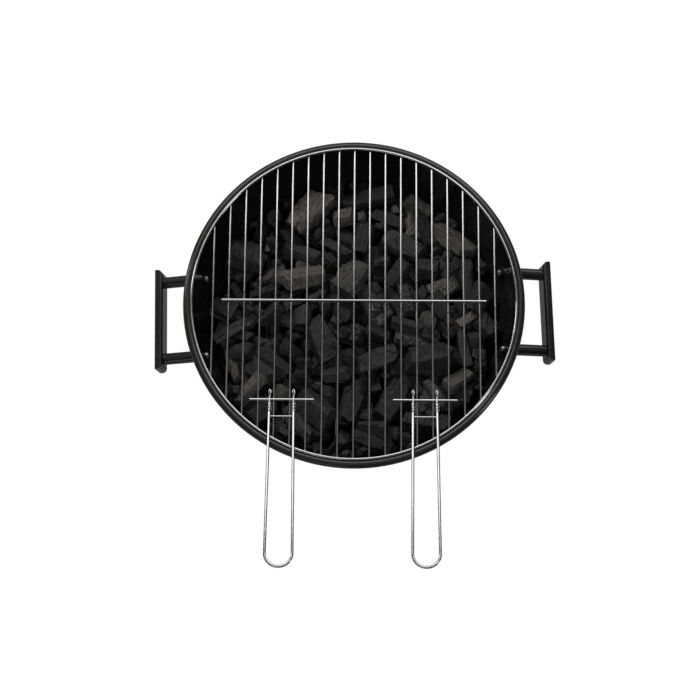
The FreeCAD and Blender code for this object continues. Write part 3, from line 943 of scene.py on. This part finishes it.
@dataclass
class CharcoalHeap:
    """Loose charcoal on the grate: lumps dropped one by one onto the heap below them."""

    effects: Effects
    seed: int = 7
    cell: float = 2.0 * MM
    wall_gap: float = 1.0 * MM
    settle_in: float = 4.0 * MM
    crown_depth: float = 44.0 * MM
    edge_depth: float = 49.0 * MM
    screw_margin: float = 7.0 * MM
    screw_reach: float = 148.0 * MM
    wall_bottom_r: float = 77.6 * MM
    wall_corner_r: float = 85.0 * MM
    wall_corner_z: float = 146.9 * MM
    turns_tried: int = 6
    misses_allowed: int = 16
    lift_allowed: float = 12.0 * MM
    voxel: float = 1.1 * MM
    lump_faces: int = 800
    shapes_per_kind: int = 2
    lowest: tuple = (
        ChosenLump(Lump.BLOCK, -12.0, 24.0, 20.0, 0.3),
        ChosenLump(Lump.WEDGE, 30.0, -14.0, 80.0, 0.4),
        ChosenLump(Lump.BLOCK, -15.0, -45.0, 10.0, 0.3),
        ChosenLump(Lump.WEDGE, -6.0, -14.0, -30.0, 0.5),
        ChosenLump(Lump.SLAB, 22.0, 18.0, -60.0, 0.4))
    chosen: tuple = (
        ChosenLump(Lump.BLOCK, -50.0, 121.0, 52.0, 1.0),
        ChosenLump(Lump.SPLIT, 14.0, 136.0, 10.0, 0.3),
        ChosenLump(Lump.SLAB, -56.0, 43.0, 16.0, 0.9),
        ChosenLump(Lump.WEDGE, -3.0, 41.0, 55.0, 0.7),
        ChosenLump(Lump.STICK, 63.0, 113.0, -83.0, 0.95),
        ChosenLump(Lump.SLAB, 111.0, 90.0, -45.0, 0.85),
        ChosenLump(Lump.CHIP, 98.0, 35.0, 25.0, 0.9),
        ChosenLump(Lump.STICK, 125.0, 3.0, 38.0, 1.0),
        ChosenLump(Lump.BLOCK, 82.0, -49.0, 5.0, 0.3),
        ChosenLump(Lump.WEDGE, -118.0, 66.0, -12.0, 0.5),
        ChosenLump(Lump.SLAB, -41.0, -102.0, -41.0, 0.45))

    def __post_init__(self) -> None:
        """Read the space that the heap fills from the frame."""
        self.random = np.random.default_rng(self.seed)
        low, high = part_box("bowl")
        self.centre = (low + high) / 2
        self.rim_z = high.z - RIM_BEAD
        self.grate_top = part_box("grate_bars")[1].z
        self.reach = 168.0 * MM
        self.size = int(2 * self.reach / self.cell) + 1
        steps = (np.arange(self.size) + 0.5) * self.cell - self.reach
        self.grid_x, self.grid_y = np.meshgrid(steps, steps, indexing="ij")
        radius = np.hypot(self.grid_x, self.grid_y)
        self.height = np.maximum(self.grate_top, self.wall_height(radius))
        self.clear_screws(radius)

    def clear_screws(self, radius: np.ndarray) -> None:
        """Keep the heap from under the side handles' screw heads, so the grate can be lifted.

        Args:
            radius: Each cell's distance from the bowl's axis.
        """
        screws_low, screws_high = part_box("grip_screws")
        half = (screws_high.z - screws_low.z) / 2
        for side, sign in (("left", -1), ("right", 1)):
            low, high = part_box(side + "_grip_posts")
            for y in (low.y + half, high.y - half):
                near = np.abs(self.grid_y - (y - self.centre.y)) < self.screw_margin
                shut = near & (self.grid_x * sign > 0) & (radius > self.screw_reach)
                self.height[shut] = 1.0

    def wall_height(self, radius: np.ndarray) -> np.ndarray:
        """The height of the bowl's inner face at each radius, a little inside the wall.

        Args:
            radius: Distances from the bowl's axis.

        Returns:
            The heights, or a very large one beyond the wall.
        """
        run = np.maximum(radius + self.wall_gap - self.wall_bottom_r, 0.0)
        inside = run < self.wall_corner_r
        drop = np.sqrt(np.maximum(self.wall_corner_r ** 2 - run ** 2, 0.0))
        return np.where(inside, self.wall_corner_z - drop, 1.0)

    def model_lump(self, kind: Lump, index: int) -> LumpShape:
        """Model one lump: a block split by flat breaks, then chipped.

        Args:
            kind: The lump's kind.
            index: A number for its name.

        Returns:
            The lump about its own origin, with its grain along X.
        """
        length, width, height = (value * MM for value in kind.value)
        small = kind in (Lump.CRUMB, Lump.NUGGET, Lump.CHIP, Lump.STICK)
        deselect_all()
        bpy.ops.mesh.primitive_cube_add(size=1.0, scale=(length, width, height))
        piece = bpy.context.active_object
        piece.name = f"lump_{kind.name.lower()}_{index}"
        bpy.ops.object.transform_apply(location=True, rotation=True, scale=True)
        bpy.ops.object.mode_set(mode="EDIT")
        for cut in range(8 if small else 13):
            lengthwise = cut % 3 != 2
            if lengthwise:
                angle = self.random.uniform(0, 2 * math.pi)
                normal = Vector((self.random.uniform(-0.2, 0.2), math.cos(angle), math.sin(angle)))
            else:
                normal = Vector((self.random.choice([-1.0, 1.0]), self.random.uniform(-0.8, 0.8),
                                 self.random.uniform(-0.6, 0.6)))
            normal.normalize()
            reach = abs(normal.x) * length + abs(normal.y) * width + abs(normal.z) * height
            depth = self.random.uniform(0.29, 0.41) * reach
            bpy.ops.mesh.select_all(action="SELECT")
            bpy.ops.mesh.bisect(plane_co=normal * depth, plane_no=normal, use_fill=True,
                                clear_outer=True)
        bpy.ops.mesh.select_all(action="SELECT")
        bpy.ops.mesh.remove_doubles(threshold=0.4 * MM)
        bpy.ops.mesh.normals_make_consistent(inside=False)
        bpy.ops.object.mode_set(mode="OBJECT")
        if small:
            self.blunt(piece, kind)
        else:
            self.roughen(piece, kind)
        settle(piece)
        self.mark_place(piece)
        return LumpShape(piece, self.sample(piece))

    def blunt(self, piece: bpy.types.Object, kind: Lump) -> None:
        """Take the knife edge off a small lump and leave its breaks flat.

        Args:
            piece: The lump.
            kind: Its kind, which sets how blunt it is.
        """
        take_up(piece)
        edges = piece.modifiers.new("edges", "BEVEL")
        edges.width = kind.value[2] * 0.035 * MM
        edges.segments = 1
        edges.limit_method = "ANGLE"
        edges.angle_limit = math.radians(35.0)
        apply_modifiers(piece)
        bpy.ops.object.shade_smooth_by_angle(angle=math.radians(24.0))

    def roughen(self, piece: bpy.types.Object, kind: Lump) -> None:
        """Break up a large lump's flat faces and chip its edges.

        Args:
            piece: The lump.
            kind: Its kind, which sets how deep the breaks are.
        """
        remesh = piece.modifiers.new("evened", "REMESH")
        remesh.mode = "VOXEL"
        remesh.voxel_size = self.voxel
        remesh.adaptivity = 0.0
        coarse = bpy.data.textures.new(piece.name + "_breaks", "VORONOI")
        coarse.noise_scale = kind.value[1] * 0.4 * MM
        fine = bpy.data.textures.new(piece.name + "_chips", "CLOUDS")
        fine.noise_scale = 4.0 * MM
        fine.noise_depth = 2
        for name, texture, strength in (("breaks", coarse, kind.value[2] * 0.13 * MM),
                                        ("chips", fine, 1.6 * MM)):
            rough = piece.modifiers.new(name, "DISPLACE")
            rough.texture = texture
            rough.strength = strength
            rough.mid_level = 0.5
            rough.texture_coords = "LOCAL"
        apply_modifiers(piece)
        thinned = piece.modifiers.new("thinned", "DECIMATE")
        thinned.ratio = min(1.0, self.lump_faces / max(len(piece.data.polygons) * 2, 1))
        apply_modifiers(piece)
        take_up(piece)
        bpy.ops.object.shade_smooth_by_angle(angle=math.radians(22.0))

    def mark_place(self, piece: bpy.types.Object) -> None:
        """Keep each point's place in the lump, which the charcoal's grain follows.

        Args:
            piece: The lump.
        """
        points = np.zeros(len(piece.data.vertices) * 3, np.float32)
        piece.data.vertices.foreach_get("co", points)
        attribute = piece.data.attributes.new("lump_place", "FLOAT_VECTOR", "POINT")
        attribute.data.foreach_set("vector", points)
        piece.data.attributes.new("lump_tone", "FLOAT", "POINT")

    def sample(self, piece: bpy.types.Object) -> np.ndarray:
        """Points spread over a lump's surface.

        Args:
            piece: The lump.

        Returns:
            The points, one per row.
        """
        mesh = piece.data
        mesh.calc_loop_triangles()
        points = np.array([vertex.co for vertex in mesh.vertices])
        corners = np.array([triangle.vertices for triangle in mesh.loop_triangles])
        spread = [points]
        for first, second in ((0.33, 0.33), (0.6, 0.2), (0.2, 0.6), (0.2, 0.2)):
            third = 1 - first - second
            spread.append(points[corners[:, 0]] * first + points[corners[:, 1]] * second
                          + points[corners[:, 2]] * third)
        return np.concatenate(spread)

    def footprint(self, samples: np.ndarray, turn: np.ndarray) -> tuple:
        """A turned lump's lower and upper faces as small height maps.

        Args:
            samples: Points on the lump's surface.
            turn: The rotation matrix.

        Returns:
            The cells' offsets along X and Y, and the lower and upper heights in them.
        """
        points = samples @ turn.T
        cells = np.floor(points[:, :2] / self.cell).astype(int)
        least = cells.min(0)
        size = cells.max(0) - least + 1
        lower = np.full(size, np.inf)
        upper = np.full(size, -np.inf)
        index = tuple((cells - least).T)
        np.minimum.at(lower, index, points[:, 2])
        np.maximum.at(upper, index, points[:, 2])
        filled_x, filled_y = np.nonzero(np.isfinite(lower))
        return (filled_x + least[0], filled_y + least[1], lower[filled_x, filled_y],
                upper[filled_x, filled_y])

    def ceiling(self, x: float, y: float) -> float:
        """How high the heap may stand at a place.

        Args:
            x: Distance right of the bowl's axis.
            y: Distance behind the bowl's axis.

        Returns:
            The height.
        """
        share = min((x * x + y * y) / self.reach ** 2, 1.0)
        return self.rim_z - self.crown_depth - (self.edge_depth - self.crown_depth) * share ** 3

    def let_down(self, cells: tuple, x: float, y: float) -> tuple | None:
        """Let a lump down onto the heap at one spot, without leaving it there.

        Args:
            cells: The lump's footprint.
            x: Distance right of the bowl's axis.
            y: Distance behind the bowl's axis.

        Returns:
            How far it stands above the heap on average, its height, the height of its top, and
            the cells under it, or None off the map.
        """
        cell_x, cell_y, lower, upper = cells
        at_x = cell_x + int((x + self.reach) / self.cell)
        at_y = cell_y + int((y + self.reach) / self.cell)
        if min(at_x.min(), at_y.min()) < 0 or max(at_x.max(), at_y.max()) >= self.size:
            return None
        ground = self.height[at_x, at_y]
        z = float((ground - lower).max()) - self.settle_in
        hollow = float((z + lower - ground).mean())
        return hollow, z, z + float(np.percentile(upper, 90)), at_x, at_y

    def leave(self, cells: tuple, spot: tuple) -> None:
        """Add a lump to the height of the heap.

        Args:
            cells: The lump's footprint.
            spot: What let_down found.
        """
        _, z, _, at_x, at_y = spot
        self.height[at_x, at_y] = np.maximum(self.height[at_x, at_y], z + cells[3])

    def snap(self, value: float) -> float:
        """Move a distance onto the height map's steps.

        Args:
            value: The distance.

        Returns:
            The nearest step below it.
        """
        return int((value + self.reach) / self.cell) * self.cell - self.reach

    def drop(self, shape: LumpShape, flat: bool, tries: int, spare: float) -> tuple | None:
        """Find the lowest of many spots and several turns for a lump.

        Args:
            shape: The lump.
            flat: Whether it lies nearly flat.
            tries: How many spots to try with each turn.
            spare: How far below the heap's ceiling its top must stay.

        Returns:
            The lump's turn and place, or None if every spot stands too high.
        """
        best = None
        for _ in range(self.turns_tried):
            turn = self.turn(flat)
            cells = self.footprint(shape.samples, turn)
            for _ in range(tries):
                distance = self.reach * math.sqrt(self.random.uniform(0, 1))
                angle = self.random.uniform(0, 2 * math.pi)
                x, y = distance * math.cos(angle), distance * math.sin(angle)
                spot = self.let_down(cells, x, y)
                if spot is None or spot[2] > self.ceiling(x, y) - spare:
                    continue
                score = spot[2] + 1.5 * spot[0] - 0.5 * self.ceiling(x, y)
                if best is None or score < best[0]:
                    best = (score, turn, cells, x, y, spot)
        if best is None:
            return None
        _, turn, cells, x, y, spot = best
        self.leave(cells, spot)
        return turn, (self.snap(x), self.snap(y), spot[1])

    def place(self, lump: ChosenLump, shape: LumpShape) -> tuple | None:
        """Lay a chosen lump at its place, with the turn that brings it closest to the ceiling.

        Args:
            lump: The chosen lump.
            shape: Its shape.

        Returns:
            The lump's turn and place, or None off the map.
        """
        best = None
        x, y = lump.x * MM, lump.y * MM
        for roll in range(8):
            for pitch in (-0.4, -0.2, 0.0, 0.2, 0.4):
                euler = Euler((roll * math.pi / 4, pitch, math.radians(lump.heading)), "XYZ")
                turn = np.array(euler.to_matrix())
                cells = self.footprint(shape.samples, turn)
                spot = self.let_down(cells, x, y)
                if spot is None or spot[2] > self.ceiling(x, y) + self.lift_allowed:
                    continue
                wide = len(cells[0]) * self.cell ** 2 * 8
                score = wide - spot[0] - 0.5 * spot[1]
                if best is None or score > best[0]:
                    best = (score, turn, cells, spot)
        if best is None:
            return None
        _, turn, cells, spot = best
        self.leave(cells, spot)
        return turn, (self.snap(x), self.snap(y), spot[1])

    def lay(self, shape: LumpShape, turn: np.ndarray, spot: tuple, tone: float) -> bpy.types.Object:
        """Copy a lump to its place.

        Args:
            shape: The modelled lump.
            turn: Its rotation matrix.
            spot: Its place from the bowl's axis, with its height.
            tone: How light it is, 0 to 1.

        Returns:
            The copy, with its own mesh.
        """
        copy = shape.piece.copy()
        copy.data = shape.piece.data.copy()
        bpy.context.scene.collection.objects.link(copy)
        place = Vector((spot[0] + self.centre.x, spot[1] + self.centre.y, spot[2]))
        copy.data.transform(Matrix.Translation(place) @ Matrix(turn.tolist()).to_4x4())
        count = len(copy.data.vertices)
        local = np.zeros(count * 3, np.float32)
        attribute = copy.data.attributes["lump_place"]
        attribute.data.foreach_get("vector", local)
        shift = self.random.uniform(-1, 1, 3).astype(np.float32)
        attribute.data.foreach_set("vector", (local.reshape(-1, 3) + shift).ravel())
        copy.data.attributes["lump_tone"].data.foreach_set("value",
                                                          np.full(count, tone, np.float32))
        return copy

    def pick_tone(self) -> float:
        """A lump's tone: most are dark, and about one in seven is light.

        Returns:
            The tone, 0 to 1.
        """
        if self.random.uniform() < 0.17:
            return float(self.random.uniform(0.65, 1.0))
        return float(self.random.uniform(0.1, 0.5))

    def turn(self, flat: bool) -> np.ndarray:
        """A random turn, close to lying flat or free.

        Args:
            flat: Whether the lump lies nearly flat.

        Returns:
            The rotation matrix.
        """
        tilt = 0.45 if flat else 1.2
        euler = Euler((self.random.choice([0.0, math.pi]) + self.random.normal(0, tilt),
                       self.random.normal(0, tilt * 0.6), self.random.uniform(0, 2 * math.pi)),
                      "XYZ")
        return np.array(euler.to_matrix())

    def fill(self, shapes: dict, kinds: tuple, most: int, tries: int, spare: float) -> list:
        """Drop lumps until enough lie on the heap or no more fit.

        Args:
            shapes: The modelled lumps of each kind.
            kinds: The kinds to drop.
            most: The greatest number of lumps.
            tries: How many spots to try with each turn.
            spare: How far below the heap's ceiling their tops must stay.

        Returns:
            The lumps that were laid.
        """
        laid = []
        misses = 0
        while len(laid) < most and misses < self.misses_allowed:
            kind = kinds[self.random.integers(len(kinds))]
            shape = shapes[kind][self.random.integers(self.shapes_per_kind)]
            found = self.drop(shape, kind in (Lump.BLOCK, Lump.SLAB, Lump.SPLIT), tries, spare)
            if found is None:
                misses += 1
                continue
            laid.append(self.lay(shape, *found, self.pick_tone()))
        return laid

    def place_all(self, shapes: dict, lumps: tuple) -> list:
        """Lay chosen lumps at their places.

        Args:
            shapes: The modelled lumps of each kind.
            lumps: The chosen lumps.

        Returns:
            The lumps that were laid.
        """
        laid = []
        for number, lump in enumerate(lumps):
            shape = shapes[lump.kind][number % self.shapes_per_kind]
            found = self.place(lump, shape)
            if found is not None:
                laid.append(self.lay(shape, *found, lump.tone))
        return laid

    def finish(self, laid: list, name: str, material: bpy.types.Material) -> None:
        """Join lumps into a piece that rides on the grate.

        Args:
            laid: The lumps.
            name: The piece's name.
            material: Their finish.
        """
        heap = join(laid, name)
        heap.data.materials.clear()
        heap.data.materials.append(material)
        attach(heap, "charcoal_grate")
        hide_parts("charcoal_bed")
        LOG.info("%s: %d lumps, %d faces", name, len(laid), len(heap.data.polygons))

    def build(self) -> None:
        """Model the lumps, drop them, join them into three pieces and dress them."""
        shapes = {kind: [self.model_lump(kind, index) for index in range(self.shapes_per_kind)]
                  for kind in Lump}
        material = Charcoal().build(self.effects)
        wide = (Lump.BLOCK, Lump.SLAB, Lump.SPLIT, Lump.WEDGE)
        little = (Lump.STICK, Lump.CHIP, Lump.NUGGET)
        large = self.place_all(shapes, self.lowest)
        large += self.fill(shapes, wide, 70, 30, 10 * MM)
        small = self.fill(shapes, little, 120, 40, 12 * MM)
        large += self.place_all(shapes, self.chosen)
        large += self.fill(shapes, wide, 110, 60, 0.0)
        small += self.fill(shapes, little, 170, 60, 0.0)
        crumbs = self.fill(shapes, (Lump.CRUMB,), 150, 40, 1 * MM)
        self.finish(large, "charcoal_large", material)
        self.finish(small, "charcoal_small", material)
        self.finish(crumbs, "charcoal_crumbs", material)
        for kind_shapes in shapes.values():
            for shape in kind_shapes:
                bpy.data.objects.remove(shape.piece)


@dataclass
class CharcoalGrate:
    """The wire grate that the charcoal lies on."""

    effects: Effects
    wires: list[str] = field(default_factory=lambda: ["grate_ring", "grate_bars",
                                                      "grate_cross_bars"])

    def build(self) -> None:
        """Dress the grate."""
        dress(self.wires, PlatedWire("grate_wire", 0.42, 0.3, 0.5, 0.6, 0.03).build(self.effects))


# ---------------------------------------------------------------- studio

class Light(Enum):
    """What a softbox is for."""

    SOFT = "lights matt surfaces"
    MIRRORED = "shows in polished surfaces"


@dataclass
class Studio:
    """The pale floor, the soft lights and the camera."""

    floor_half: float = 8.0
    lens: float = 101.36
    camera_distance: float = 2.075
    camera_elevation: float = 72.204
    aim_from_rim: tuple = (-0.0039, -0.053)

    def rim_centre(self) -> Vector:
        """The centre of the bowl's rolled rim.

        Returns:
            The point.
        """
        low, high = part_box("bowl")
        return Vector(((low.x + high.x) / 2, (low.y + high.y) / 2, high.z - RIM_BEAD))

    def build_floor(self) -> None:
        """Lay the floor."""
        deselect_all()
        bpy.ops.mesh.primitive_plane_add(size=2 * self.floor_half)
        floor = bpy.context.active_object
        floor.name = "studio_floor"
        floor.data.materials.append(StudioWhite().build())

    def add_softbox(self, name: str, place: tuple, size: tuple, watts: float,
                    kind: Light) -> None:
        """Hang a softbox that faces the bowl.

        Args:
            name: The light's name.
            place: Where its centre is.
            size: Its width and height.
            watts: Its power.
            kind: Whether it lights matt surfaces or shows in polished ones.
        """
        light = bpy.data.lights.new(name, "AREA")
        light.shape = "RECTANGLE"
        light.size, light.size_y = size
        light.energy = watts
        box = bpy.data.objects.new(name, light)
        bpy.context.scene.collection.objects.link(box)
        box.location = place
        box.visible_glossy = kind is Light.MIRRORED
        box.visible_diffuse = kind is Light.SOFT
        towards = self.rim_centre() - Vector(place)
        box.rotation_euler = towards.to_track_quat("-Z", "Y").to_euler()

    def build_world(self) -> None:
        """A grey sky, dark at middle heights and pale at the horizon and overhead."""
        world = bpy.data.worlds.new("studio_air")
        world.use_nodes = True
        bpy.context.scene.world = world
        sheet = Sheet(world.node_tree)
        source = sheet.add("ShaderNodeTexCoord")
        parts = sheet.add("ShaderNodeSeparateXYZ")
        sheet.feed(parts.inputs[0], source.outputs["Generated"])
        horizon = sheet.span(parts.outputs["Z"], 0.06, 0.2, 0.15, 0.03)
        overhead = sheet.span(parts.outputs["Z"], 0.75, 0.92, 0.0, 0.24)
        back = world.node_tree.nodes["Background"]
        path = sheet.add("ShaderNodeLightPath")
        sheet.feed(back.inputs["Strength"],
                   sheet.sum("MAXIMUM", sheet.sum("ADD", horizon, overhead),
                             path.outputs["Is Camera Ray"]))
        back.inputs["Color"].default_value = grey(1.0)

    def build_camera(self) -> None:
        """Set the camera above the front of the grill."""
        centre = self.rim_centre()
        elevation = math.radians(self.camera_elevation)
        data = bpy.data.cameras.new("camera")
        data.lens = self.lens
        data.sensor_width = 36.0
        camera = bpy.data.objects.new("camera", data)
        bpy.context.scene.collection.objects.link(camera)
        camera.location = centre + self.camera_distance * Vector((0, -math.cos(elevation),
                                                                 math.sin(elevation)))
        aim = centre + Vector((*self.aim_from_rim, 0.0))
        camera.rotation_euler = (aim - camera.location).to_track_quat("-Z", "Y").to_euler()
        bpy.context.scene.camera = camera

    def build(self) -> None:
        """Set up the whole studio."""
        bpy.context.scene.view_settings.view_transform = "Standard"
        self.build_camera()
        self.build_floor()
        self.build_world()
        self.add_softbox("back_softbox", (0.0, 1.95, 2.3), (3.2, 2.0), 36.0, Light.MIRRORED)
        self.add_softbox("left_strip", (-2.1, 1.1, 1.1), (0.4, 1.3), 4.5, Light.MIRRORED)
        self.add_softbox("right_strip", (2.1, -0.9, 1.1), (0.4, 1.3), 4.5, Light.MIRRORED)
        self.add_softbox("front_strip", (-0.8, -2.3, 1.0), (1.3, 0.35), 2.0, Light.MIRRORED)
        self.add_softbox("low_back_strip", (1.0, 2.4, 0.9), (1.3, 0.35), 2.0, Light.MIRRORED)
        self.add_softbox("key", (-1.3, 1.5, 2.0), (0.9, 0.9), 46.0, Light.SOFT)
        self.add_softbox("fill", (0.8, -1.2, 2.4), (2.0, 2.0), 15.0, Light.SOFT)


def main() -> None:
    """Build the grill's looks in order."""
    logging.basicConfig(level=logging.INFO, format="%(name)s: %(message)s")
    effects = Effects()
    Studio().build()
    zinc = RolledSteel("zinc_fasteners", 0.62, 400.0, 0.22, 0.4, 0.03).build(effects)
    Stand(effects).build(zinc)
    SideHandles(effects).build(zinc)
    CharcoalGrate(effects).build()
    CharcoalHeap(effects).build()
    CookingGrid(effects).build()


if __name__ == "__main__":
    main()
